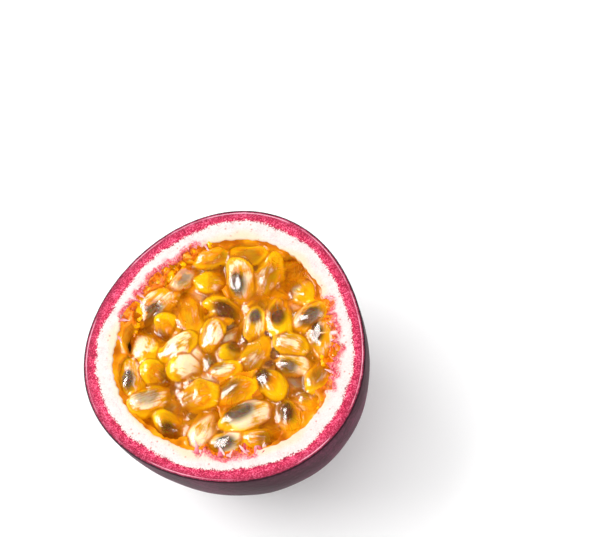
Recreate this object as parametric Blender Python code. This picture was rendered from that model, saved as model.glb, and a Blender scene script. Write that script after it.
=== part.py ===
"""A passion fruit half, cut face up: a thick peel cup filled with pulp. Metres, +Z up.

The origin is the centre of the small flat spot that the half rests on, and the cut face is level.
"""

import math
import random

import bmesh
import bpy
from mathutils import Matrix, Vector

# Driving dimensions of the fruit.
RIM_RADIUS = 0.0280  # mean radius of the cut face, out to the skin
BODY_DEPTH = 0.0310  # from the cut face to the pole, before the pole is flattened
REST_RADIUS = 0.0045  # the flat spot at the pole
PEEL_SHARE = 0.21  # thickness of the peel at the cut, as a share of the rim radius
FLOOR_THICKNESS = 0.0046  # thickness of the peel at the pole
FULLNESS = 0.92  # below 1, the body is fuller than an ellipsoid
EDGE_ROUNDING = 0.0004  # how far the rim's two edges are rounded off
CLEARANCE = 0.0003  # gap between the peel and the pulp

# The cut face isn't a circle. An entry is: lobes round the face, share of the radius, direction in degrees.
FACE_LOBES = ((2, 0.019, 90.0), (3, 0.031, 50.0))

# The arils are the juice sacs that each hold a seed. They lie close together, half sunk in juice.
JUICE_DROP = 0.0016  # from the cut face down to the juice
ARIL_COUNT = 38
ARIL_LENGTH = 0.0092
ARIL_WIDTH = 0.0056
ARIL_THICKNESS = 0.0049
ARIL_TAPER = 0.16  # how much thinner an aril's tip is than its heel
SIZE_SPREAD = 0.17
PITCH_SPREAD = 0.38  # tilt of the arils out of the level, in radians
CROWN = 0.0010  # how far the pulp's middle stands over its edge
TOP_SPREAD = 0.0006
ARIL_DICE = 5
SETTLING_STEPS = 90

PEEL_SEGMENTS = 72
PULP_SEGMENTS = 48
BODY_RINGS = 12
CAVITY_RINGS = 8
ARIL_SIDES = 12
ARIL_RINGS = 8
MERGE_DISTANCE = 1e-6

REST_TURN = math.acos(REST_RADIUS / RIM_RADIUS)  # how far round the profile the flat spot starts
CUT_HEIGHT = BODY_DEPTH * math.sin(REST_TURN)
CAVITY_RADIUS = RIM_RADIUS * (1 - PEEL_SHARE)
CAVITY_DEPTH = CUT_HEIGHT - FLOOR_THICKNESS


def lobed(angle):
    """The cut face's radius in this direction, over its mean radius."""
    return 1 + sum(
        share * math.cos(count * (angle - math.radians(direction)))
        for count, share, direction in FACE_LOBES
    )


class Aril:
    """One juice sac: where it lies, which way it points, how far it tilts and how large it is."""

    def __init__(self, dice, place):
        size = 1 + dice.uniform(-SIZE_SPREAD, SIZE_SPREAD)
        self.place = place
        self.heading = dice.uniform(0, math.tau)
        self.pitch = dice.gauss(0, PITCH_SPREAD)
        self.half_length = ARIL_LENGTH / 2 * size * dice.uniform(0.86, 1.12)
        self.half_width = ARIL_WIDTH / 2 * size
        self.half_thickness = ARIL_THICKNESS / 2 * size
        self.drop = dice.uniform(-TOP_SPREAD, TOP_SPREAD)

    def beads(self):
        """Three discs along the aril that together cover its outline, as seen from above."""
        reach = (self.half_length - self.half_width) * math.cos(self.pitch)
        along = Vector((math.cos(self.heading), math.sin(self.heading)))
        return [along * (reach * step) for step in (-1, 0, 1)]

    def nudge(self, bead, push):
        """Moves the aril by a push at one of its beads, which also turns it."""
        self.place = self.place + push
        self.heading += bead.cross(push) / self.half_length**2

    def height(self):
        """Height of the aril's middle, which brings its highest point close to the cut face."""
        rise = math.hypot(
            self.half_length * math.sin(self.pitch),
            self.half_thickness * math.cos(self.pitch),
        )
        from_middle = self.place.length / CAVITY_RADIUS
        return CUT_HEIGHT + self.drop + CROWN * (0.5 - from_middle**2) - rise

    def frame(self):
        """Turns a unit sphere with its poles along Z into the aril, in place."""
        return (
            Matrix.Translation((*self.place, self.height()))
            @ Matrix.Rotation(self.heading, 4, "Z")
            @ Matrix.Rotation(math.pi / 2 + self.pitch, 4, "Y")
            @ Matrix.Diagonal((self.half_thickness, self.half_width, self.half_length, 1))
        )


def part_arils(one, other):
    """Pushes two arils apart wherever their beads overlap."""
    for bead in one.beads():
        for facing in other.beads():
            between = one.place + bead - other.place - facing
            overlap = one.half_width + other.half_width - between.length
            if overlap > 0:
                push = between.normalized() * (overlap / 4)
                one.nudge(bead, push)
                other.nudge(facing, -push)


def keep_in_cavity(aril):
    """Pushes an aril's beads back inside the cavity's wall."""
    for bead in aril.beads():
        spot = aril.place + bead
        wall = CAVITY_RADIUS * lobed(math.atan2(spot.y, spot.x)) - 2 * CLEARANCE
        limit = wall - aril.half_width
        if spot.length > limit:
            aril.nudge(bead, spot * (limit / spot.length - 1))


def packed_arils():
    """Arils spread evenly over the cavity and then settled against each other."""
    dice = random.Random(ARIL_DICE)
    golden_turn = math.pi * (3 - math.sqrt(5))
    arils = []
    for index in range(ARIL_COUNT):
        distance = CAVITY_RADIUS * math.sqrt((index + 0.5) / ARIL_COUNT)
        turn = index * golden_turn
        arils.append(Aril(dice, Vector((math.cos(turn), math.sin(turn))) * distance))
    for _ in range(SETTLING_STEPS):
        for index, aril in enumerate(arils):
            for other in arils[index + 1 :]:
                part_arils(aril, other)
        for aril in arils:
            keep_in_cavity(aril)
    return arils


def cup_point(radius, depth, turn):
    """A point of a cup's profile, (x, z): turn is 0 at the cut face and a quarter circle at the pole."""
    return radius * math.cos(turn) ** FULLNESS, CUT_HEIGHT - depth * math.sin(turn)


def turned(profile, segments):
    """A closed solid of revolution. The profile starts and ends on the axis."""
    mesh = bmesh.new()
    points = [mesh.verts.new((x, 0, z)) for x, z in profile]
    edges = [mesh.edges.new(pair) for pair in zip(points, points[1:])]
    bmesh.ops.spin(
        mesh,
        geom=points + edges,
        cent=(0, 0, 0),
        axis=(0, 0, 1),
        angle=math.tau,
        steps=segments,
        use_merge=True,
    )
    bmesh.ops.remove_doubles(mesh, verts=mesh.verts, dist=MERGE_DISTANCE)
    bmesh.ops.recalc_face_normals(mesh, faces=mesh.faces)
    return mesh


def give_lobes(mesh):
    """Turns round cross-sections into lobed ones. The lobes fade out towards the pole."""
    for vert in mesh.verts:
        angle = math.atan2(vert.co.y, vert.co.x)
        share_of_height = max(0.0, min(1.0, vert.co.z / CUT_HEIGHT))
        stretch = 1 + (lobed(angle) - 1) * math.sin(share_of_height * math.pi / 2)
        vert.co.x *= stretch
        vert.co.y *= stretch


def peel_cup():
    """The cup: skin, crimson rind and white pith in one solid, open over the pulp."""
    outside = [
        cup_point(RIM_RADIUS, BODY_DEPTH, REST_TURN * step / BODY_RINGS)
        for step in range(BODY_RINGS, 0, -1)
    ]
    rim = [
        (RIM_RADIUS, CUT_HEIGHT - EDGE_ROUNDING),
        (RIM_RADIUS - EDGE_ROUNDING, CUT_HEIGHT),
        (CAVITY_RADIUS + EDGE_ROUNDING, CUT_HEIGHT),
        (CAVITY_RADIUS, CUT_HEIGHT - EDGE_ROUNDING),
    ]
    inside = [
        cup_point(CAVITY_RADIUS, CAVITY_DEPTH, math.pi / 2 * step / CAVITY_RINGS)
        for step in range(1, CAVITY_RINGS)
    ]
    bottom = (0, 0)
    cavity_floor = (0, CUT_HEIGHT - CAVITY_DEPTH)
    mesh = turned([bottom, *outside, *rim, *inside, cavity_floor], PEEL_SEGMENTS)
    give_lobes(mesh)
    return mesh


def juice_body():
    """The juice that fills the cavity up to a level surface under the cut face."""
    depth = CAVITY_DEPTH - CLEARANCE
    surface_turn = math.asin(JUICE_DROP / depth)
    step_turn = (math.pi / 2 - surface_turn) / CAVITY_RINGS
    underside = [
        cup_point(CAVITY_RADIUS - CLEARANCE, depth, math.pi / 2 - step * step_turn)
        for step in range(1, CAVITY_RINGS + 1)
    ]
    cavity_floor = (0, CUT_HEIGHT - depth)
    middle = (0, CUT_HEIGHT - JUICE_DROP)
    mesh = turned([cavity_floor, *underside, middle], PULP_SEGMENTS)
    give_lobes(mesh)
    return mesh


def aril_body(aril):
    """One aril: an egg shape that narrows towards its tip."""
    mesh = bmesh.new()
    bmesh.ops.create_uvsphere(mesh, u_segments=ARIL_SIDES, v_segments=ARIL_RINGS, radius=1)
    for vert in mesh.verts:
        narrowing = 1 - ARIL_TAPER * vert.co.z
        vert.co.x *= narrowing
        vert.co.y *= narrowing
    mesh.transform(aril.frame())
    return mesh


def as_data(mesh, name):
    """Turns a finished bmesh into mesh data, smooth except at its edges."""
    data = bpy.data.meshes.new(name)
    mesh.to_mesh(data)
    mesh.free()
    data.shade_smooth()
    data.set_sharp_from_angle(angle=math.radians(40))
    return data


def add_object(name, mesh, material=None):
    """Puts a finished bmesh into the scene as a named object."""
    made = bpy.data.objects.new(name, as_data(mesh, name))
    if material:
        made.data.materials.append(material)
    bpy.context.scene.collection.objects.link(made)
    return made


def finish(name, colour, roughness):
    """A Principled material that isn't metal."""
    material = bpy.data.materials.new(name)
    material.use_nodes = True
    shader = material.node_tree.nodes["Principled BSDF"]
    shader.inputs["Base Color"].default_value = (*colour, 1)
    shader.inputs["Roughness"].default_value = roughness
    shader.inputs["Metallic"].default_value = 0
    return material


def joined(base, guides):
    """The base's mesh with every guide joined to it, as a new bmesh."""
    join = base.modifiers.new("join", "BOOLEAN")
    join.operation = "UNION"
    join.solver = "EXACT"
    join.operand_type = "COLLECTION"
    join.collection = guides
    mesh = bmesh.new()
    mesh.from_object(base, bpy.context.evaluated_depsgraph_get())
    return mesh


def outer_shell(mesh):
    """Deletes the walls of the pockets that are shut in between pieces, and keeps the largest shell."""
    shells = []
    unseen = set(mesh.verts)
    while unseen:
        shell = {unseen.pop()}
        edge_of_shell = list(shell)
        while edge_of_shell:
            vert = edge_of_shell.pop()
            fresh = {edge.other_vert(vert) for edge in vert.link_edges} - shell
            shell |= fresh
            edge_of_shell += fresh
        unseen -= shell
        shells.append(shell)
    largest = max(shells, key=len)
    pockets = [vert for vert in mesh.verts if vert not in largest]
    bmesh.ops.delete(mesh, geom=pockets, context="VERTS")
    return mesh


def pulp_body():
    """Joins the arils to the juice, so that their upper sides stand out of it as one solid."""
    juice = add_object("juice_guide", juice_body())
    arils = bpy.data.collections.new("aril_guides")
    for number, aril in enumerate(packed_arils()):
        guide = bpy.data.objects.new(f"aril_guide_{number}", as_data(aril_body(aril), "aril"))
        arils.objects.link(guide)
    mesh = outer_shell(joined(juice, arils))
    bpy.data.objects.remove(juice)
    return mesh


for old in list(bpy.data.objects):
    bpy.data.objects.remove(old)

add_object("peel", peel_cup(), finish("peel", (0.085, 0.022, 0.042), 0.45))
add_object("pulp", pulp_body(), finish("pulp", (0.80, 0.33, 0.02), 0.15))
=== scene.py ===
"""The looks of a passion fruit half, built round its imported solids. Metres, +Z up, the cut face level.

The peel is one turned shell with a skin finish and a cut-flesh finish. The pulp is made of the real things:
juice, the juice sacs (arils) melted into one wet body, and a seed inside each sac. Where the wall is torn,
curds of gel and shreds of pink tissue lie along it.
"""

import math
import random

import bmesh
import bpy
from mathutils import Matrix, Vector, kdtree, noise


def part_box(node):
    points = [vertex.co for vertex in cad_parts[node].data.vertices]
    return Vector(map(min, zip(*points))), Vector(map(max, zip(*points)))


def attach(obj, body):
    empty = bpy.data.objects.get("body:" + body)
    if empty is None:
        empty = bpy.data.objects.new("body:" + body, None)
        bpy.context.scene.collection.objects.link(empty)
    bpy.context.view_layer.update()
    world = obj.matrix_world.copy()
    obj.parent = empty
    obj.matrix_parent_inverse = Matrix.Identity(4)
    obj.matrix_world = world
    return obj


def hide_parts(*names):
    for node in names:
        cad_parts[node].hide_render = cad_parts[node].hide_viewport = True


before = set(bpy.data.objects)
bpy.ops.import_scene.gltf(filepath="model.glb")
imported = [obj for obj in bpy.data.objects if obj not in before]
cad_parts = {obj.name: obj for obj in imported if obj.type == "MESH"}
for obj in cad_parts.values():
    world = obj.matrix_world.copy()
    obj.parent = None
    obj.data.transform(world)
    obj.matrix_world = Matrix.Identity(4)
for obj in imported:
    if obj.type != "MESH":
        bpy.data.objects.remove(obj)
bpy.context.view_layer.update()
peel_low, peel_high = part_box("peel")

MM = 0.001

# The fruit's sizes, from the frame. The rim's mean radius is a whole number of millimetres.
RIM_RADIUS = round((peel_high.x - peel_low.x + peel_high.y - peel_low.y) / 4, 3)
CUT_HEIGHT = peel_high.z
REST_RADIUS = 4.5 * MM
REST_TURN = math.acos(REST_RADIUS / RIM_RADIUS)
BODY_DEPTH = CUT_HEIGHT / math.sin(REST_TURN)
PEEL_SHARE = 0.21
FLOOR_THICKNESS = 4.6 * MM
FULLNESS = 0.92
CAVITY_RADIUS = RIM_RADIUS * (1 - PEEL_SHARE)
CAVITY_DEPTH = CUT_HEIGHT - FLOOR_THICKNESS
FACE_LOBES = ((2, 0.019, 90.0), (3, 0.031, 50.0))  # count, share of the radius, direction in degrees

# The upper arils, as in the solids.
CLEARANCE = 0.3 * MM
ARIL_COUNT = 38
ARIL_LENGTH = 9.2 * MM
ARIL_WIDTH = 5.6 * MM
ARIL_THICKNESS = 4.9 * MM
ARIL_TAPER = 0.16
SIZE_SPREAD = 0.17
PITCH_SPREAD = 0.38
CROWN = 1.0 * MM
TOP_SPREAD = 0.6 * MM
ARIL_DICE = 5
SETTLING_STEPS = 90

# The shell of peel: how finely it is divided, its rounded edges, and where its wall is torn.
PEEL_SEGMENTS = 560
BODY_RINGS = 56
FACE_RINGS = 22
CAVITY_RINGS = 34
EDGE_STEPS = 4
SKIN_EDGE = 0.25 * MM
PITH_EDGE = 0.35 * MM
SKIN_FINISH = 0
FLESH_FINISH = 1
TORN_SECTORS = ((108.0, 38.0), (-27.0, 34.0), (246.0, 20.0))  # middles and half spans, in degrees
TORN_EDGE = (0.58, 0.92)  # where the tearing starts and is full, across the cut face
EDGE_WAVES = ((0.45, 5), (0.25, 22))  # height in millimetres, and how closely they follow each other
UNEVEN_BAND = (0.55, 1.0)
UNEVEN_FADE = (3 * MM, 9 * MM)
TOOTH_CLOSENESS = 13
TOOTH_SLOPE = 4.5
SOAKED_BAND = (0.25 * MM, 0.9 * MM)
FACE_GRAIN = (0.05, 0.22)  # in millimetres, where the face is whole and where it is torn
GRAIN_FADE = (0.2 * MM, 1.5 * MM)
DENT_DEPTH = 0.16 * MM

# The juice sacs: the arils again, a little larger, with flats, a bend and a seed each.
SAC_DICE = 3
SAC_SPREAD = 1.03
SINKING = 0.5 * MM  # how unevenly the upper sacs sink into the juice
ARIL_GROWTH = (1.12, 1.07, 1.12)
FACET_COUNT = 6
FACET_REACH = (0.76, 0.94)
FACET_PRESS = 0.7
FACET_TILT = 0.6
BEND = 0.45
TAPER_SPREAD = (-0.12, 0.14)
LUMPINESS = 0.22
SEED_LENGTH = 4.8 * MM
SEED_WIDTH = 3.2 * MM
SEED_THICKNESS = 2.0 * MM
SEED_TAPER = 0.25
SEED_PLACES = ((-0.3, -0.05), (-0.28, 0.28), (-0.3, 0.3))  # over the sac's half sizes
SEED_ROLL = 0.7
SEED_GROWTH = (0.85, 1.15)
SEED_CLEARNESS = (0.0, 1.8)
SEED_WINDOW = (0.6, 1.5)
GEL_GRAIN = 0.26 * MM
MELTING_ROUNDS = 9
NEIGHBOURS = 7
CROWN_BAND = (0.3, 0.9)
SUNK_BAND = (0.1 * MM, 2.3 * MM)
# How far the painted shade in the creases between sacs reaches, in the sacs' unit space.
CREASE_SHADE_WIDTH = 0.35
FIBRE_CLOSENESS = (3, 3, 0.7)

# The lower layer of sacs.
DEEP_COUNT = 46
DEEP_DROP = 1.5 * MM
DEEP_SPREAD = 0.3  # in millimetres
DEEP_TILT = 0.6
DEEP_MARGIN = 1.8 * MM
DEEP_TRIES = 60

# The juice: its level, and how it creeps up the sacs and the wall.
JUICE_LEVEL = CUT_HEIGHT - 1.1 * MM
JUICE_OVERLAP = 1.2 * MM
JUICE_SEGMENTS = 300
JUICE_RINGS = 12
JUICE_TOP_RINGS = 75
MENISCUS_RISE = 0.8 * MM
MENISCUS_REACH = 0.75 * MM
WALL_RISE = 1.1
WALL_REACH = 1.3 * MM
CUP_SQUARE = 0.62  # the cup under a sac, in the sac's own unit space: the square of its radius
WETTED_RADIUS = 0.92
CUP_GAP = 0.05 * MM
CUP_RANGE = 1.5  # how far a sac bears on the juice, in its half lengths
LEVEL_TOLERANCE = 1e-5
CURDLED_BAND = (2.5 * MM, 5 * MM)

# The torn gel and tissue along the wall.
CURD_COUNT = 130
CURD_RADIUS = (0.3 * MM, 0.75 * MM)
CURD_SECTORS = ((94.0, 22.0), (122.0, 22.0), (104.0, 36.0), (-46.0, 16.0))
CURD_AWAY = (-0.2, 3.2)  # from the wall, in millimetres
CURD_SINKING = 0.5
CURD_SLOPE = 0.25
CURD_STRETCH = (0.8, 1.5)
CURD_FLATNESS = 0.7
SHRED_COUNT = 30
SHRED_LENGTH = (1.5 * MM, 3.8 * MM)
SHRED_WIDTH = (0.35 * MM, 0.65 * MM)
SHRED_FLATNESS = 0.45
SHRED_TIP = 0.12
SHRED_CURL = 0.4
SHRED_DROOP = (-0.16, 0.06)
SHRED_SINKING = (0.15, 0.6)
SHRED_ROOT = 0.6 * MM
SHRED_TWIST = 0.6

# The camera, and the soft light.
VIEW_ELEVATION = math.radians(62.5)
VIEW_ROLL = math.radians(27)
LENS = 200
SENSOR = 36
FACE_SHARE = 0.478  # the cut face's mean diameter, over the frame's width
FACE_RIGHT = -0.1304  # the face's middle from the frame's middle, over the frame's width
FACE_UP = -0.1290
WORLD_STRENGTH = 1.06
WORLD_GLOSS = 0.05
FLOOR_SIZE = 3


def smooth(value, low, high):
    """0 below low, 1 above high, and smooth in between."""
    share = max(0.0, min(1.0, (value - low) / (high - low)))
    return share * share * (3 - 2 * share)


def lobed(angle):
    """The cut face's radius in this direction, over its mean radius."""
    return 1 + sum(
        share * math.cos(count * (angle - math.radians(direction)))
        for count, share, direction in FACE_LOBES
    )


def how_torn(angle):
    """1 in the sectors where the white pith is torn down to pink tissue, 0 away from them."""
    most = 0.0
    for middle, half_span in TORN_SECTORS:
        away = abs(math.remainder(angle - math.radians(middle), math.tau))
        most = max(most, 1 - smooth(away, math.radians(half_span * 0.6), math.radians(half_span)))
    return most


# ---------------------------------------------------------------- arils


class Aril:
    """One juice sac: where it lies, which way it points, how far it tilts and how large it is."""

    def __init__(self, dice, place):
        size = 1 + dice.uniform(-SIZE_SPREAD, SIZE_SPREAD)
        self.place = place
        self.heading = dice.uniform(0, math.tau)
        self.pitch = dice.gauss(0, PITCH_SPREAD)
        self.half_length = ARIL_LENGTH / 2 * size * dice.uniform(0.86, 1.12)
        self.half_width = ARIL_WIDTH / 2 * size
        self.half_thickness = ARIL_THICKNESS / 2 * size
        self.drop = dice.uniform(-TOP_SPREAD, TOP_SPREAD)

    def beads(self):
        """Three discs along the aril that together cover its outline, as seen from above."""
        reach = (self.half_length - self.half_width) * math.cos(self.pitch)
        along = Vector((math.cos(self.heading), math.sin(self.heading)))
        return [along * (reach * step) for step in (-1, 0, 1)]

    def nudge(self, bead, push):
        """Moves the aril by a push at one of its beads, which also turns it."""
        self.place = self.place + push
        self.heading += bead.cross(push) / self.half_length**2

    def height(self):
        """Height of the aril's middle, which brings its highest point close to the cut face."""
        rise = math.hypot(
            self.half_length * math.sin(self.pitch),
            self.half_thickness * math.cos(self.pitch),
        )
        from_middle = self.place.length / CAVITY_RADIUS
        return CUT_HEIGHT + self.drop + CROWN * (0.5 - from_middle**2) - rise

    def axes(self):
        """Turns directions along the aril's thickness, width and length into place, without scale."""
        return (
            Matrix.Translation((*self.place, self.height()))
            @ Matrix.Rotation(self.heading, 4, "Z")
            @ Matrix.Rotation(math.pi / 2 + self.pitch, 4, "Y")
        )


def part_arils(one, other):
    """Pushes two arils apart wherever their beads overlap."""
    for bead in one.beads():
        for facing in other.beads():
            between = one.place + bead - other.place - facing
            overlap = one.half_width + other.half_width - between.length
            if overlap > 0:
                push = between.normalized() * (overlap / 4)
                one.nudge(bead, push)
                other.nudge(facing, -push)


def keep_in_cavity(aril):
    """Pushes an aril's beads back inside the cavity's wall."""
    for bead in aril.beads():
        spot = aril.place + bead
        wall = CAVITY_RADIUS * lobed(math.atan2(spot.y, spot.x)) - 2 * CLEARANCE
        limit = wall - aril.half_width
        if spot.length > limit:
            aril.nudge(bead, spot * (limit / spot.length - 1))


def packed_arils():
    """Arils spread evenly over the cavity and then settled against each other."""
    dice = random.Random(ARIL_DICE)
    golden_turn = math.pi * (3 - math.sqrt(5))
    arils = []
    for index in range(ARIL_COUNT):
        distance = CAVITY_RADIUS * math.sqrt((index + 0.5) / ARIL_COUNT)
        turn = index * golden_turn
        arils.append(Aril(dice, Vector((math.cos(turn), math.sin(turn))) * distance))
    for _ in range(SETTLING_STEPS):
        for index, aril in enumerate(arils):
            for other in arils[index + 1 :]:
                part_arils(aril, other)
        for aril in arils:
            keep_in_cavity(aril)
    return arils


def deep_arils(arils, dice):
    """Sacs of a lower layer, put where the upper ones leave the widest gaps."""
    found = []
    for _ in range(DEEP_COUNT):
        best = None
        for _ in range(DEEP_TRIES):
            distance = (CAVITY_RADIUS - DEEP_MARGIN) * math.sqrt(dice.random())
            turn = dice.uniform(0, math.tau)
            place = Vector((math.cos(turn), math.sin(turn))) * distance * lobed(turn)
            room = min(
                (place - other.place - bead).length - other.half_width * weight
                for group, weight in ((arils, 1.0), (found, 0.6))
                for other in group
                for bead in other.beads()
            )
            if best is None or room > best[0]:
                best = (room, place)
        aril = Aril(dice, best[1])
        aril.pitch *= DEEP_TILT
        aril.drop = -DEEP_DROP + dice.uniform(-DEEP_SPREAD, DEEP_SPREAD) * MM
        found.append(aril)
    return found


# ---------------------------------------------------------------- materials


def tint(code):
    """A colour written as a hex number, as linear red, green, blue and alpha."""
    channels = [(code >> shift & 255) / 255 for shift in (16, 8, 0)]
    return (*(c / 12.92 if c <= 0.04045 else ((c + 0.055) / 1.055) ** 2.4 for c in channels), 1)


class Value:
    """A number in a shader. Arithmetic on it adds Math nodes."""

    def __init__(self, finish, socket):
        self.finish = finish
        self.socket = socket

    def maths(self, operation, *numbers):
        node = self.finish.node("Math", {"operation": operation}, dict(enumerate(numbers)))
        return Value(self.finish, node.outputs[0])

    def __add__(self, other):
        return self.maths("ADD", self, other)

    def __radd__(self, other):
        return self.maths("ADD", other, self)

    def __sub__(self, other):
        return self.maths("SUBTRACT", self, other)

    def __rsub__(self, other):
        return self.maths("SUBTRACT", other, self)

    def __mul__(self, other):
        return self.maths("MULTIPLY", self, other)

    def __rmul__(self, other):
        return self.maths("MULTIPLY", other, self)

    def __abs__(self):
        return self.maths("ABSOLUTE", self)

    def between(self, low, high):
        """0 below low, 1 above high, and smooth in between."""
        node = self.finish.node(
            "MapRange",
            {"interpolation_type": "SMOOTHSTEP"},
            {"Value": self, "From Min": low, "From Max": high},
        )
        return Value(self.finish, node.outputs[0])


class Finish:
    """One material, or the sky, and the nodes that make it."""

    def __init__(self, name, library=bpy.data.materials):
        self.block = library.new(name)
        self.block.use_nodes = True
        self.tree = self.block.node_tree
        self.tree.nodes.clear()

    def node(self, kind, settings=None, sockets=None):
        """Adds a node. Its settings are set first, and then its sockets are given values or links."""
        made = self.tree.nodes.new("ShaderNode" + kind)
        for name, setting in (settings or {}).items():
            if name == "stops":
                self.set_stops(made.color_ramp, setting)
            else:
                setattr(made, name, setting)
        for key, value in (sockets or {}).items():
            source = value.socket if isinstance(value, Value) else value
            if isinstance(source, bpy.types.NodeSocket):
                self.tree.links.new(source, made.inputs[key])
            else:
                made.inputs[key].default_value = source
        return made

    def set_stops(self, ramp, stops):
        while len(ramp.elements) < len(stops):
            ramp.elements.new(1)
        for element, (position, colour) in zip(ramp.elements, stops):
            element.position = position
            element.color = colour

    def attribute(self, name):
        return Value(self, self.node("Attribute", {"attribute_name": name}).outputs["Fac"])

    def noise(self, scale, detail=3, vector=None, roughness=0.5, distortion=0.0):
        """Cloudy noise from 0 to 1, in features per metre, on Object coordinates."""
        where = vector or self.node("TexCoord").outputs["Object"]
        node = self.node(
            "TexNoise",
            sockets={
                "Vector": where,
                "Scale": scale,
                "Detail": detail,
                "Roughness": roughness,
                "Distortion": distortion,
            },
        )
        return Value(self, node.outputs[0])

    def cells(self, scale):
        """Distance to the nearest of many scattered points, in features per metre."""
        where = self.node("TexCoord").outputs["Object"]
        node = self.node("TexVoronoi", sockets={"Vector": where, "Scale": scale})
        return Value(self, node.outputs["Distance"])

    def ramp(self, value, stops):
        return self.node("ValToRGB", {"stops": stops}, {"Fac": value}).outputs["Color"]

    def mix(self, share, first, second):
        return self.node("Mix", {"data_type": "RGBA"}, {0: share, 6: first, 7: second}).outputs[2]

    def bump(self, height, distance):
        return self.node("Bump", sockets={"Height": height, "Distance": distance}).outputs["Normal"]

    def surface(self, shader):
        self.node("OutputMaterial", sockets={"Surface": shader})
        return self.block

    def principled(self, **sockets):
        return self.node(
            "BsdfPrincipled", sockets={name.replace("_", " "): value for name, value in sockets.items()}
        ).outputs[0]


def skin_finish():
    """Dull, waxy purple skin with pale specks."""
    skin = Finish("purple_skin")
    blotches = skin.noise(90, detail=4)
    grain = skin.noise(1500, detail=5, roughness=0.7)
    colour = skin.ramp(
        blotches * 0.5 + grain * 0.5,
        [(0.32, tint(0x2C0A18)), (0.5, tint(0x3E1626)), (0.66, tint(0x6A3048))],
    )
    pits = skin.cells(700)
    return skin.surface(
        skin.principled(
            Base_Color=colour,
            Roughness=0.40 + grain * 0.12,
            Normal=skin.bump(grain * 0.4 + pits * 0.6, 0.00006),
            Specular_IOR_Level=0.06,
        )
    )


def flesh_finish():
    """The cut peel: a line of skin, crimson rind, white pith, and a pink or juice-stained inner edge. A
    thin pink line of painted highlight runs just inside the skin.
    """
    flesh = Finish("cut_flesh")
    across = flesh.attribute("across")
    torn = flesh.attribute("torn")
    soaked = flesh.attribute("soaked")
    wander = flesh.noise(110, detail=2)
    ragged = flesh.noise(900, detail=4, roughness=0.75)
    grain = flesh.noise(3600, detail=3, roughness=0.75)
    place = across + (wander - 0.5) * 0.34 + (ragged - 0.5) * 0.26 + (grain - 0.5) * 0.26
    specks = (1 - flesh.cells(900).between(0.1, 0.26)) * flesh.noise(180, detail=1).between(0.46, 0.56)
    rind = flesh.ramp(
        grain * 0.6 + ragged * 0.4,
        [(0.41, tint(0x900030)), (0.5, tint(0xD20E48)), (0.61, tint(0xF46C94))],
    )
    rind = flesh.mix((1 - across).between(0.66, 0.95) * 0.55, rind, tint(0x780C34))
    pith = flesh.ramp(
        grain * 0.4 + ragged * 0.6,
        [(0.33, tint(0xD6AEB4)), (0.42, tint(0xDFCCC8)), (0.6, tint(0xE4DAD6))],
    )
    pith = flesh.mix((across + (wander - 0.5) * 0.9).between(0.72, 1.0) * 0.7, pith, tint(0xE6CBA0))
    pith = flesh.mix(specks * 0.7, pith, tint(0xC87868))
    colour = flesh.mix(place.between(0.415, 0.455), rind, pith)
    # Painted highlight: a thin pink line just inside the skin, where the rounded cut edge would catch the
    # light.
    painted_edge_glint = (across + (ragged - 0.5) * 0.03).between(0.075, 0.095) * (1 - across.between(0.105, 0.125))
    colour = flesh.mix(painted_edge_glint * wander.between(0.42, 0.62) * 0.8, colour, tint(0xF0B4C8))
    line = 1 - (across + (ragged - 0.5) * 0.06).between(0.02, 0.08)
    colour = flesh.mix(line, colour, tint(0x280618))
    patches = flesh.noise(260, detail=4, roughness=0.6)
    stain = torn * 1.1 + (patches - 0.5) * 3.0 + (ragged - 0.5) * 1.6 + (grain - 0.5) * 1.4
    stain = stain.between(0.4, 0.85) * torn.between(0.0, 0.2)
    tissue = flesh.ramp(
        grain * 0.5 + patches * 0.5,
        [(0.43, tint(0xA0041C)), (0.48, tint(0xD82C48)), (0.52, tint(0xEC7C8C)), (0.57, tint(0xF2D0CC))],
    )
    wet_tissue = flesh.ramp(ragged, [(0.42, tint(0xA82008)), (0.5, tint(0xCC4A10)), (0.62, tint(0xE88830))])
    soaking = (torn + (grain - 0.5) * 0.9 + (patches - 0.5) * 2.4).between(0.9, 1.3)
    colour = flesh.mix(stain, colour, flesh.mix(soaking, tissue, wet_tissue))
    juice = flesh.ramp(ragged, [(0.4, tint(0xC86406)), (0.5, tint(0xE89414)), (0.6, tint(0xF6B840))])
    colour = flesh.mix((soaked + (ragged - 0.5) * 0.8).between(0.3, 0.8), colour, juice)
    return flesh.surface(
        flesh.principled(
            Base_Color=colour,
            Roughness=0.55,
            Specular_IOR_Level=0.18,
            Subsurface_Weight=0.1,
            Subsurface_Radius=(0.6, 0.35, 0.3),
            Subsurface_Scale=0.0005,
            Normal=flesh.bump(grain * 0.5 + ragged * 0.5, 0.0002),
        )
    )


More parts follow.
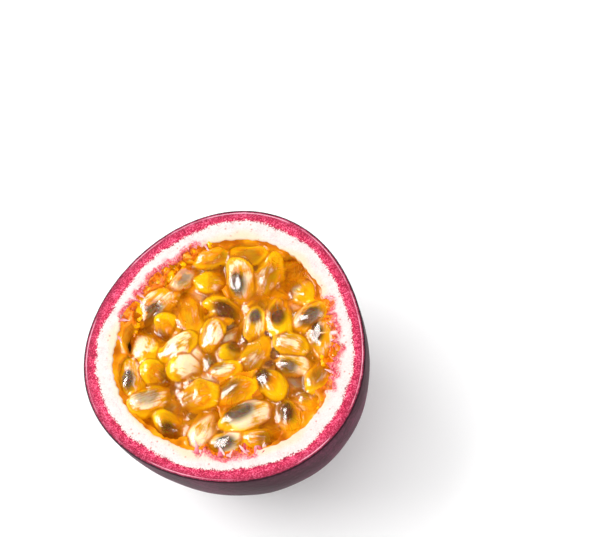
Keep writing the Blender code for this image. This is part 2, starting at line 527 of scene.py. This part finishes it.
def gel_finish():
    """Wet gel: golden at the rim, milky on top, clearest over the seed, and darker amber where it is sunk,
    partly as painted shade. The golden rim is partly painted light, the gel glows with a painted glow, and
    the creases where sacs meet are darkened with painted shade.
    """
    gel = Finish("aril_gel")
    tone = gel.attribute("tone")
    window = gel.attribute("window")
    sunk = gel.attribute("sunk")
    crown = gel.attribute("crown")
    crease = gel.attribute("crease")
    cloud = gel.noise(300, detail=3)
    fibre = gel.node("Attribute", {"attribute_name": "fibre"}).outputs["Vector"]
    fibres = gel.noise(1.6, detail=4, vector=fibre)
    wrinkles = gel.noise(420, detail=3)
    folds = 1 - abs(gel.noise(200, detail=1, distortion=1.5) - 0.5).between(0.0, 0.03)
    wet = {
        "Coat_Weight": 1 - sunk * 0.4,
        "Coat_Roughness": 0.06,
        "Coat_IOR": 1.5,
        "Normal": gel.bump(wrinkles * 0.7 + fibres * 0.3 + folds * 0.25, 0.0005),
    }
    # The golden band at each sac's rim is partly the gel's own colour and partly painted light gathered
    # through the thin gel at the edge.
    rim = (1 - crown + (fibres - 0.5) * 0.8 + (cloud - 0.5) * 0.6).between(0.3, 0.95)
    veil = (crown * 0.6 + tone * 0.8 + (fibres - 0.5) * 1.9 + (cloud - 0.5) * 2.0).between(0.86, 1.4)
    veil = veil * (1 - sunk * 0.9)
    amber = gel.mix((cloud * 0.5 + fibres * 0.5).between(0.38, 0.62), tint(0xFFB80A), tint(0xEA8C04))
    body = gel.mix(veil, amber, tint(0xF8E0BC))
    body = gel.mix(rim * 0.85, body, tint(0xFFC40C))
    # Painted shade: darker amber in the creases where two sacs meet.
    body = gel.mix(crease.between(0.55, 1.0) * 0.85, body, tint(0xC06800))
    # Deeper below the cut face the gel turns darker amber: partly the gel's deeper colour, partly painted
    # shade in the hollows between sacs.
    deep_amber_and_shade = gel.mix((cloud * 0.6 + fibres * 0.4).between(0.38, 0.62), tint(0xF09800), tint(0xB05C00))
    body = gel.mix(sunk.between(0.1, 0.8), body, deep_amber_and_shade)
    # Painted glow: emission that stands in for light gathered through the gel, brightest at the golden rim
    # and weakest deep down.
    painted_glow = gel.mix(sunk.between(0.0, 1.0), gel.mix(rim, tint(0x905400), tint(0xFFB400)), tint(0x703C00))
    clear = gel.principled(
        # Deeper down the clear part is tinted darker amber as well, partly as painted shade.
        Base_Color=gel.mix(sunk, gel.mix(window, tint(0xFFC038), tint(0xFFE4D8)), tint(0xE89018)),
        Roughness=0.06,
        IOR=1.36,
        Transmission_Weight=1.0,
        **wet,
    )
    cloudy = gel.principled(
        Base_Color=body,
        Roughness=0.35,
        Specular_IOR_Level=0.05,
        Subsurface_Weight=1.0,
        Subsurface_Radius=(1.0, 0.5, 0.12),
        Subsurface_Scale=0.001,
        Emission_Color=painted_glow,
        Emission_Strength=0.42,
        **wet,
    )
    share = (0.72 + veil * 0.3 + (cloud - 0.5) * 0.6) * (1 - window * (1 - sunk * 0.7) * 0.9)
    flesh = gel.node("MixShader", sockets={0: share, 1: clear, 2: cloudy}).outputs[0]
    through = gel.node("BsdfTransparent", sockets={"Color": tint(0xFFF4C0)}).outputs[0]
    shadow = gel.node("LightPath").outputs["Is Shadow Ray"]
    return gel.surface(gel.node("MixShader", sockets={0: shadow, 1: flesh, 2: through}).outputs[0])


def juice_finish():
    """Glossy amber juice with a faint painted glow. Where the wall is torn it is curdled, and under the
    sacs it looks yellow.
    """
    juice = Finish("amber_juice")
    cloud = juice.noise(260, detail=4)
    ripple = juice.noise(420, detail=2)
    curd = juice.noise(1000, detail=4, roughness=0.7)
    curdled = juice.attribute("curdled")
    smooth_juice = juice.ramp(
        cloud,
        [(0.36, tint(0xA85004)), (0.5, tint(0xCC7806)), (0.64, tint(0xEC9C14))],
    )
    curdled_juice = juice.ramp(
        curd * 0.7 + cloud * 0.3,
        [(0.38, tint(0x9C2C02)), (0.46, tint(0xC85204)), (0.56, tint(0xEC8410)), (0.66, tint(0xFAC050))],
    )
    colour = juice.mix(curdled, smooth_juice, curdled_juice)
    colour = juice.mix(juice.attribute("cupped"), colour, tint(0xFFC030))
    return juice.surface(
        juice.principled(
            Base_Color=colour,
            Roughness=0.12,
            IOR=1.36,
            Subsurface_Weight=0.6,
            Subsurface_Radius=(1.0, 0.4, 0.08),
            Subsurface_Scale=0.0006,
            # A faint painted glow in amber.
            Emission_Color=tint(0xC06800),
            Emission_Strength=0.15,
            Normal=juice.bump(ripple * 0.3 + curd * curdled * 0.7, 0.0005),
        )
    )


def seed_finish():
    """A dark, pitted seed coat."""
    coat = Finish("seed_coat")
    grain = coat.noise(1400, detail=2)
    pits = coat.cells(1700)
    return coat.surface(
        coat.principled(
            Base_Color=coat.ramp(grain, [(0.3, tint(0x200812)), (0.7, tint(0x542834))]),
            Roughness=0.5,
            Specular_IOR_Level=0.2,
            Normal=coat.bump(pits, 0.00015),
        )
    )


def shred_finish():
    """Torn tissue: crimson at the root and pale pink at the tip."""
    tissue = Finish("torn_tissue")
    grain = tissue.noise(2200, detail=3)
    return tissue.surface(
        tissue.principled(
            Base_Color=tissue.ramp(
                tissue.attribute("tone") * 0.7 + grain * 0.3,
                [(0.2, tint(0xC83048)), (0.4, tint(0xE4788A)), (0.7, tint(0xF6CCC8))],
            ),
            Roughness=0.4,
            Specular_IOR_Level=0.3,
            Subsurface_Weight=0.3,
            Subsurface_Radius=(1.0, 0.5, 0.3),
            Subsurface_Scale=0.0004,
            Normal=tissue.bump(grain, 0.0002),
        )
    )


# ---------------------------------------------------------------- meshes


def add_piece(name, mesh, slot, *materials):
    """Puts a finished bmesh into the scene as a smooth piece of the fruit."""
    data = bpy.data.meshes.new(name)
    mesh.to_mesh(data)
    mesh.free()
    data.shade_smooth()
    for material in materials:
        data.materials.append(material)
    piece = bpy.data.objects.new(name, data)
    bpy.context.scene.collection.objects.link(piece)
    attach(piece, "root")
    return piece


def joined(meshes):
    """One bmesh of many, with their layers."""
    whole = bmesh.new()
    for mesh in meshes:
        data = bpy.data.meshes.new("lump")
        mesh.to_mesh(data)
        mesh.free()
        whole.from_mesh(data)
        bpy.data.meshes.remove(data)
    return whole


def cup_point(radius, depth, turn):
    """A point of a cup's profile, (x, z): turn is 0 at the cut face and a quarter circle at the pole."""
    return radius * math.cos(turn) ** FULLNESS, CUT_HEIGHT - depth * math.sin(turn)


def turned(profile, segments):
    """A shell of revolution. Where the profile starts or ends on the axis, it closes there."""
    mesh = bmesh.new()
    points = [mesh.verts.new((x, 0, z)) for x, z in profile]
    edges = [mesh.edges.new(pair) for pair in zip(points, points[1:])]
    bmesh.ops.spin(
        mesh,
        geom=points + edges,
        cent=(0, 0, 0),
        axis=(0, 0, 1),
        angle=math.tau,
        steps=segments,
        use_merge=True,
    )
    bmesh.ops.remove_doubles(mesh, verts=mesh.verts, dist=1e-7)
    bmesh.ops.recalc_face_normals(mesh, faces=mesh.faces)
    return mesh


def give_lobes(mesh):
    """Turns round cross-sections into lobed ones. The lobes fade out towards the pole."""
    for vert in mesh.verts:
        angle = math.atan2(vert.co.y, vert.co.x)
        share_of_height = max(0.0, min(1.0, vert.co.z / CUT_HEIGHT))
        stretch = 1 + (lobed(angle) - 1) * math.sin(share_of_height * math.pi / 2)
        vert.co.x *= stretch
        vert.co.y *= stretch


def rounded_edge(centre_x, centre_z, start, end, radius):
    """Points of a circular arc between two angles, in degrees."""
    turns = [math.radians(start + (end - start) * step / EDGE_STEPS) for step in range(EDGE_STEPS + 1)]
    return [(centre_x + radius * math.cos(turn), centre_z + radius * math.sin(turn)) for turn in turns]


def peel_profile():
    """The shell's outline, (x, z): from its foot up the outside, over the rim and down the cavity."""
    outside = [
        cup_point(RIM_RADIUS, BODY_DEPTH, REST_TURN * step / BODY_RINGS)
        for step in range(BODY_RINGS, 0, -1)
    ]
    face_start = RIM_RADIUS - SKIN_EDGE
    face_end = CAVITY_RADIUS + PITH_EDGE
    face = [
        (face_start + (face_end - face_start) * step / FACE_RINGS, CUT_HEIGHT)
        for step in range(1, FACE_RINGS)
    ]
    inside = [
        cup_point(CAVITY_RADIUS, CAVITY_DEPTH, math.pi / 2 * (step / CAVITY_RINGS) ** 1.5)
        for step in range(1, CAVITY_RINGS)
    ]
    return [
        (0, 0),
        *outside,
        *rounded_edge(face_start, CUT_HEIGHT - SKIN_EDGE, 0, 90, SKIN_EDGE),
        *face,
        *rounded_edge(face_end, CUT_HEIGHT - PITH_EDGE, 90, 180, PITH_EDGE),
        *[point for point in inside if point[1] < CUT_HEIGHT - PITH_EDGE],
        (0, FLOOR_THICKNESS),
    ]


def edge_shift(outward, tear):
    """How far the cavity's edge is moved outward, in millimetres. Where it is torn, it has inward teeth."""
    shift = sum(height * noise.noise(outward * closeness) for height, closeness in EDGE_WAVES)
    shift += tear * (0.3 + 0.8 * noise.noise(outward * 9))
    ridge = noise.noise(outward * TOOTH_CLOSENESS + Vector((0, 0, 3)))
    tooth = max(0.0, 1 - TOOTH_SLOPE * abs(ridge))
    return shift - tear * tooth * (0.9 + 2.2 * noise.noise(outward * 11))


def peel_shell():
    """The cup of peel: its profile is turned, and its lobes, dents and uneven inner edge come after."""
    mesh = turned(peel_profile(), PEEL_SEGMENTS)
    across = mesh.verts.layers.float.new("across")
    torn = mesh.verts.layers.float.new("torn")
    soaked = mesh.verts.layers.float.new("soaked")
    for face in mesh.faces:
        centre = face.calc_center_median()
        faces_axis = face.normal.x * centre.x + face.normal.y * centre.y < 0
        face.material_index = FLESH_FINISH if face.normal.z > 0.5 or faces_axis else SKIN_FINISH
    for vert in mesh.verts:
        radius = math.hypot(vert.co.x, vert.co.y)
        angle = math.atan2(vert.co.y, vert.co.x)
        outward = Vector((math.cos(angle), math.sin(angle), 0))
        below = CUT_HEIGHT - vert.co.z
        if any(face.material_index == FLESH_FINISH for face in vert.link_faces):
            share = (RIM_RADIUS - radius) / (RIM_RADIUS - CAVITY_RADIUS)
            vert[across] = min(1.0, share) if below < 2 * PITH_EDGE else 1.0
            near_edge = smooth(vert[across], *UNEVEN_BAND)
            tear = how_torn(angle)
            vert[torn] = tear * smooth(vert[across] + 0.12 * noise.noise(outward * 9), *TORN_EDGE)
            vert[soaked] = smooth(below, *SOAKED_BAND)
            push = near_edge * MM * edge_shift(outward, tear) * (1 - smooth(below, *UNEVEN_FADE))
            vert.co.x += outward.x * push
            vert.co.y += outward.y * push
            rough = FACE_GRAIN[0] + FACE_GRAIN[1] * tear * near_edge
            vert.co.z += MM * rough * noise.noise(vert.co * 900) * (1 - smooth(below, *GRAIN_FADE))
        else:
            dent = DENT_DEPTH * noise.noise(vert.co * 130)
            dent *= smooth(vert.co.z, 0, 6 * MM)
            dent *= smooth(below, 0, 3 * MM)
            vert.co.x += outward.x * dent
            vert.co.y += outward.y * dent
    give_lobes(mesh)
    return mesh


class Sac:
    """An aril with its own shape and looks: its flats, its bend, its milkiness and its seed."""

    def __init__(self, aril, dice):
        self.aril = aril
        halves = (aril.half_thickness, aril.half_width, aril.half_length)
        self.size = Vector([half * growth for half, growth in zip(halves, ARIL_GROWTH)])
        self.whole = aril.axes() @ Matrix.Diagonal((*self.size, 1))
        self.into = self.whole.inverted()
        self.shade = dice.random()
        self.offset = Vector([dice.uniform(0, 90) for _ in range(3)])
        self.bend = dice.uniform(-BEND, BEND)
        self.taper = ARIL_TAPER + dice.uniform(*TAPER_SPREAD)
        self.facets = []
        for _ in range(FACET_COUNT):
            direction = Vector((dice.gauss(0, 1), dice.gauss(0, 1), dice.gauss(0, FACET_TILT))).normalized()
            self.facets.append((direction, dice.uniform(*FACET_REACH)))
        self.seed = Vector([dice.uniform(*span) for span in SEED_PLACES])
        self.roll = dice.uniform(-SEED_ROLL, SEED_ROLL)
        self.growth = dice.uniform(*SEED_GROWTH) * aril.half_width / (ARIL_WIDTH / 2)
        self.shown = max(0.0, min(1.0, dice.uniform(*SEED_CLEARNESS)))

    def shape(self, point):
        """Moves a point of the unit ball to where the flats, the taper and the bend bring it."""
        for direction, reach in self.facets:
            beyond = point.dot(direction) - reach
            if beyond > 0:
                point = point - direction * beyond * FACET_PRESS
        along = point.z
        swell = 1 - self.taper * along + LUMPINESS * noise.noise(point * 1.6 + self.offset)
        return Vector((point.x * swell, point.y * swell + self.bend * (along**2 - 0.4), along))

    def lump(self):
        """The sac alone, before it melts into the others."""
        mesh = bmesh.new()
        bmesh.ops.create_uvsphere(mesh, u_segments=36, v_segments=24, radius=1)
        for vert in mesh.verts:
            vert.co = self.shape(vert.co)
        mesh.transform(self.whole)
        return mesh

    def seed_lump(self):
        """The seed: flat, and pointed at one end."""
        mesh = bmesh.new()
        bmesh.ops.create_uvsphere(mesh, u_segments=16, v_segments=12, radius=1)
        for vert in mesh.verts:
            vert.co.x *= 1 - SEED_TAPER * vert.co.z
            vert.co.y *= 1 - SEED_TAPER * vert.co.z
        middle = [share * half for share, half in zip(self.seed, self.size)]
        halves = [self.growth * edge / 2 for edge in (SEED_THICKNESS, SEED_WIDTH, SEED_LENGTH)]
        mesh.transform(
            self.aril.axes()
            @ Matrix.Translation(middle)
            @ Matrix.Rotation(self.roll, 4, "Z")
            @ Matrix.Diagonal((*halves, 1))
        )
        return mesh

    def over_seed(self, point):
        """1 where a point in the sac's own unit space lies over its seed, and 0 well away from it."""
        across = (point.y - self.seed.y) * self.size.y / (self.growth * SEED_WIDTH / 2)
        along = (point.z - self.seed.z) * self.size.z / (self.growth * SEED_LENGTH / 2)
        return self.shown * (1 - smooth(math.hypot(across, along), *SEED_WINDOW))

    def over(self, spot):
        """The height of the sac's underside over a spot, or None beside it, and how far beside it is."""
        origin = self.into @ Vector((*spot, 0))
        plumb = self.into.to_3x3() @ Vector((0, 0, 1))
        steepness = plumb.length_squared
        lean = origin.dot(plumb)
        inside = lean * lean - steepness * (origin.length_squared - CUP_SQUARE)
        if inside > 0:
            return (-lean - math.sqrt(inside)) / steepness, 0.0
        nearest = math.sqrt(max(0.0, origin.length_squared - lean * lean / steepness)) - WETTED_RADIUS
        return None, nearest * self.aril.half_width


def melted(mesh, grain, rounds):
    """One closed skin round many lumps, with the creases between them filled softly."""
    guide = bpy.data.objects.new("guide", bpy.data.meshes.new("guide"))
    mesh.to_mesh(guide.data)
    mesh.free()
    bpy.context.scene.collection.objects.link(guide)
    skin = guide.modifiers.new("skin", "REMESH")
    skin.mode = "VOXEL"
    skin.voxel_size = grain
    merged = bmesh.new()
    merged.from_object(guide, bpy.context.evaluated_depsgraph_get())
    bpy.data.objects.remove(guide)
    for _ in range(rounds):
        bmesh.ops.smooth_vert(
            merged, verts=merged.verts, factor=0.5, use_axis_x=True, use_axis_y=True, use_axis_z=True
        )
    return merged


def gel_body(sacs):
    """All the sacs, melted together. Each point knows its own sac and how close the next sac is."""
    mesh = melted(joined([sac.lump() for sac in sacs]), GEL_GRAIN, MELTING_ROUNDS)
    names = ("tone", "window", "crown", "sunk", "crease")
    tone, window, crown, sunk, crease = [mesh.verts.layers.float.new(name) for name in names]
    fibre = mesh.verts.layers.float_vector.new("fibre")
    middles = kdtree.KDTree(len(sacs))
    for index, sac in enumerate(sacs):
        middles.insert(sac.whole.translation, index)
    middles.balance()
    for vert in mesh.verts:
        near = []
        for _, index, _ in middles.find_n(vert.co, NEIGHBOURS):
            point = sacs[index].into @ vert.co
            near.append((point.length, index, point))
        (first, index, point), (second, _, _) = sorted(near)[:2]
        sac = sacs[index]
        vert[tone] = sac.shade
        vert[window] = sac.over_seed(point)
        vert[crown] = smooth(-point.x, *CROWN_BAND)
        vert[sunk] = smooth(CUT_HEIGHT - vert.co.z, *SUNK_BAND)
        # Nearness to the next sac, which the gel uses for painted shade in the creases.
        vert[crease] = 1 - smooth(second - first, 0.0, CREASE_SHADE_WIDTH)
        stretched = [part * closeness for part, closeness in zip(point, FIBRE_CLOSENESS)]
        vert[fibre] = Vector(stretched) + sac.offset
    return mesh


def juice_profile():
    """The juice's outline, (x, z): along its underside to the wall, and back over its flat top."""
    depth = CAVITY_DEPTH - CLEARANCE
    surface_turn = math.asin((CUT_HEIGHT - JUICE_LEVEL) / depth)
    underside = [
        cup_point(
            CAVITY_RADIUS + JUICE_OVERLAP,
            depth,
            math.pi / 2 + (surface_turn - math.pi / 2) * step / JUICE_RINGS,
        )
        for step in range(1, JUICE_RINGS + 1)
    ]
    brim = underside[-1][0]
    top = [(brim * (1 - step / JUICE_TOP_RINGS), JUICE_LEVEL) for step in range(1, JUICE_TOP_RINGS)]
    return [(0, CUT_HEIGHT - depth), *underside, *top, (0, JUICE_LEVEL)]


def juice_body(sacs):
    """Juice up to its level: it creeps up each sac and the wall, and it lies under each sac like a cup."""
    mesh = turned(juice_profile(), JUICE_SEGMENTS)
    give_lobes(mesh)
    cupped = mesh.verts.layers.float.new("cupped")
    curdled = mesh.verts.layers.float.new("curdled")
    for vert in mesh.verts:
        if vert.co.z < JUICE_LEVEL - LEVEL_TOLERANCE:
            continue
        spot = vert.co.to_2d()
        angle = math.atan2(spot.y, spot.x)
        wall = CAVITY_RADIUS * lobed(angle) - spot.length
        rise = WALL_RISE * math.exp(-max(wall, 0) / WALL_REACH)
        lowest = JUICE_LEVEL
        for sac in sacs:
            if (sac.aril.place - spot).length > sac.aril.half_length * CUP_RANGE:
                continue
            underside, beside = sac.over(spot)
            if underside is None:
                rise = max(rise, math.exp(-max(beside, 0) / MENISCUS_REACH))
            else:
                lowest = min(lowest, underside)
        if lowest < JUICE_LEVEL:
            vert.co.z = lowest - CUP_GAP
            vert[cupped] = 1.0
        else:
            vert.co.z = JUICE_LEVEL + MENISCUS_RISE * rise
            vert[curdled] = how_torn(angle) * (1 - smooth(wall, *CURDLED_BAND))
    bmesh.ops.recalc_face_normals(mesh, faces=mesh.faces)
    return mesh


def curd(dice):
    """A bead of torn gel beside the wall."""
    middle, half_span = dice.choice(CURD_SECTORS)
    angle = math.radians(middle + dice.uniform(-1, 1) * half_span)
    away = dice.uniform(*CURD_AWAY) * MM
    size = dice.uniform(*CURD_RADIUS)
    reach = CAVITY_RADIUS * lobed(angle) - away
    sinking = CURD_SINKING + CURD_SLOPE * away / MM + dice.uniform(0, CURD_SINKING)
    mesh = bmesh.new()
    bmesh.ops.create_uvsphere(mesh, u_segments=14, v_segments=10, radius=1)
    tone = mesh.verts.layers.float.new("tone")
    sunk = mesh.verts.layers.float.new("sunk")
    fibre = mesh.verts.layers.float_vector.new("fibre")
    shade = dice.random()
    depth = dice.uniform(0.0, 1.0)
    offset = Vector([dice.uniform(0, 90) for _ in range(3)])
    for vert in mesh.verts:
        vert[tone] = shade
        vert[sunk] = depth
        vert[fibre] = vert.co + offset
        vert.co *= 1 + 0.5 * noise.noise(vert.co * 1.2 + offset)
    squash = Matrix.Diagonal((dice.uniform(*CURD_STRETCH), dice.uniform(*CURD_STRETCH), CURD_FLATNESS, 1))
    mesh.transform(
        Matrix.Rotation(angle, 4, "Z")
        @ Matrix.Translation((reach, 0, CUT_HEIGHT - sinking * MM))
        @ Matrix.Rotation(dice.uniform(0, math.pi), 4, "Z")
        @ squash
        @ Matrix.Scale(size, 4)
    )
    return mesh


def shred(dice):
    """A flat, pointed strip of torn tissue that leans from the wall over the juice."""
    middle, half_span = dice.choice(TORN_SECTORS)
    angle = math.radians(middle + dice.uniform(-1, 1) * half_span)
    length = dice.uniform(*SHRED_LENGTH)
    width = dice.uniform(*SHRED_WIDTH)
    curl = dice.uniform(-SHRED_CURL, SHRED_CURL)
    droop = dice.uniform(*SHRED_DROOP)
    shade = dice.random()
    mesh = bmesh.new()
    bmesh.ops.create_cone(mesh, cap_ends=True, segments=9, radius1=1, radius2=SHRED_TIP, depth=1)
    sides = [edge for edge in mesh.edges if abs(edge.verts[0].co.z - edge.verts[1].co.z) > 0.5]
    bmesh.ops.subdivide_edges(mesh, edges=sides, cuts=6, use_grid_fill=True)
    tone = mesh.verts.layers.float.new("tone")
    for vert in mesh.verts:
        along = vert.co.z + 0.5
        lump = 1 + 0.6 * noise.noise(Vector((angle * 40, along * 4, vert.co.x)))
        up = width * SHRED_FLATNESS * lump * vert.co.x + length * droop * along
        sideways = width * lump * vert.co.y + length * curl * along**2
        vert.co = Vector((up, sideways, along * length))
        vert[tone] = max(0.0, min(1.0, shade + 0.5 * (along - 0.5)))
    wall = (CAVITY_RADIUS + SHRED_ROOT) * lobed(angle)
    height = CUT_HEIGHT - dice.uniform(*SHRED_SINKING) * MM
    mesh.transform(
        Matrix.Rotation(angle, 4, "Z")
        @ Matrix.Translation((wall, 0, height))
        @ Matrix.Rotation(dice.uniform(-SHRED_TWIST, SHRED_TWIST), 4, "Z")
        @ Matrix.Rotation(-math.pi / 2, 4, "Y")
    )
    return mesh


def build_fruit():
    """All the pieces. The peel's shell and the melted sacs stand in for the two solids."""
    arils = packed_arils()
    dice = random.Random(SAC_DICE)
    for aril in arils:
        aril.place *= SAC_SPREAD
        aril.drop -= max(0.0, dice.gauss(0, SINKING))
    arils += deep_arils(arils, dice)
    sacs = [Sac(aril, dice) for aril in arils]
    shell = add_piece("peel_shell", peel_shell(), "peel", skin_finish(), flesh_finish())
    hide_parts("peel")
    gel = gel_finish()
    body = add_piece("arils", gel_body(sacs), "pulp", gel)
    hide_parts("pulp")
    add_piece("seeds", joined([sac.seed_lump() for sac in sacs]), "pulp", seed_finish())
    add_piece("juice", juice_body(sacs), "pulp", juice_finish())
    add_piece("curds", joined([curd(dice) for _ in range(CURD_COUNT)]), "pulp", gel)
    add_piece("shreds", joined([shred(dice) for _ in range(SHRED_COUNT)]), "peel", shred_finish())


# ---------------------------------------------------------------- stage


def camera_axes():
    """The camera's right, up and backward directions."""
    back = Vector((0, -math.cos(VIEW_ELEVATION), math.sin(VIEW_ELEVATION)))
    level_right = Vector((1, 0, 0))
    level_up = back.cross(level_right)
    right = level_right * math.cos(VIEW_ROLL) - level_up * math.sin(VIEW_ROLL)
    return right, back.cross(right), back


def add_camera(face_middle):
    """A long lens that shows the cut face at its size and place in the frame."""
    right, up, back = camera_axes()
    camera = bpy.data.objects.new("camera", bpy.data.cameras.new("camera"))
    camera.data.lens = LENS
    camera.data.sensor_width = SENSOR
    camera.data.clip_start = 0.01
    distance = 2 * RIM_RADIUS / FACE_SHARE * LENS / SENSOR
    frame_width = distance * SENSOR / LENS
    aside = right * (FACE_RIGHT * frame_width)
    above = up * (FACE_UP * frame_width)
    turn = Matrix((right, up, back)).transposed().to_4x4()
    camera.matrix_world = Matrix.Translation(face_middle + back * distance - aside - above) @ turn
    bpy.context.scene.collection.objects.link(camera)
    bpy.context.scene.camera = camera


def add_light(name, face_middle, towards, distance, width, height, radiance, diffuse=True, gloss=True):
    """A soft box that faces the fruit. Its direction is given as right, up and towards the camera."""
    right, up, back = camera_axes()
    lamp = bpy.data.lights.new(name, "AREA")
    lamp.shape = "RECTANGLE"
    lamp.size = width
    lamp.size_y = height
    lamp.energy = radiance * math.pi * width * height
    direction = (right * towards[0] + up * towards[1] + back * towards[2]).normalized()
    turn = direction.to_track_quat("Z", "Y").to_matrix().to_4x4()
    box = bpy.data.objects.new(name, lamp)
    box.matrix_world = Matrix.Translation(face_middle + direction * distance) @ turn
    box.visible_diffuse = diffuse
    box.visible_glossy = gloss
    bpy.context.scene.collection.objects.link(box)


def add_floor():
    """A plain white floor."""
    mesh = bmesh.new()
    bmesh.ops.create_grid(mesh, x_segments=1, y_segments=1, size=FLOOR_SIZE)
    data = bpy.data.meshes.new("floor")
    mesh.to_mesh(data)
    mesh.free()
    floor = bpy.data.objects.new("floor", data)
    bpy.context.scene.collection.objects.link(floor)
    paint = Finish("white_floor")
    data.materials.append(paint.surface(paint.principled(Base_Color=(0.97, 0.97, 0.97, 1), Roughness=0.8)))


def add_world():
    """An even white sky, which shows only faintly in wet surfaces."""
    sky = Finish("studio", bpy.data.worlds)
    strength = sky.node(
        "MapRange",
        sockets={
            "Value": sky.node("LightPath").outputs["Is Glossy Ray"],
            "To Min": WORLD_STRENGTH,
            "To Max": WORLD_GLOSS,
        },
    ).outputs[0]
    white = sky.node("Background", sockets={"Color": (1, 1, 1, 1), "Strength": strength}).outputs[0]
    sky.node("OutputWorld", sockets={"Surface": white})
    bpy.context.scene.world = sky.block


def set_stage():
    """The camera, the lights, the floor and the sky."""
    face_middle = Vector((0, 0, CUT_HEIGHT))
    add_camera(face_middle)
    add_light("key", face_middle, (-0.82, 0.46, 0.34), 0.5, 0.60, 0.48, 2.6, gloss=False)
    add_light("card", face_middle, (-0.90, 0.32, 0.30), 0.5, 0.34, 0.30, 14.0, diffuse=False)
    add_light("fill", face_middle, (0.9, -0.2, 0.8), 0.6, 0.10, 0.25, 5.0)
    add_floor()
    add_world()
    bpy.context.scene.view_settings.view_transform = "Standard"


build_fruit()
set_stage()
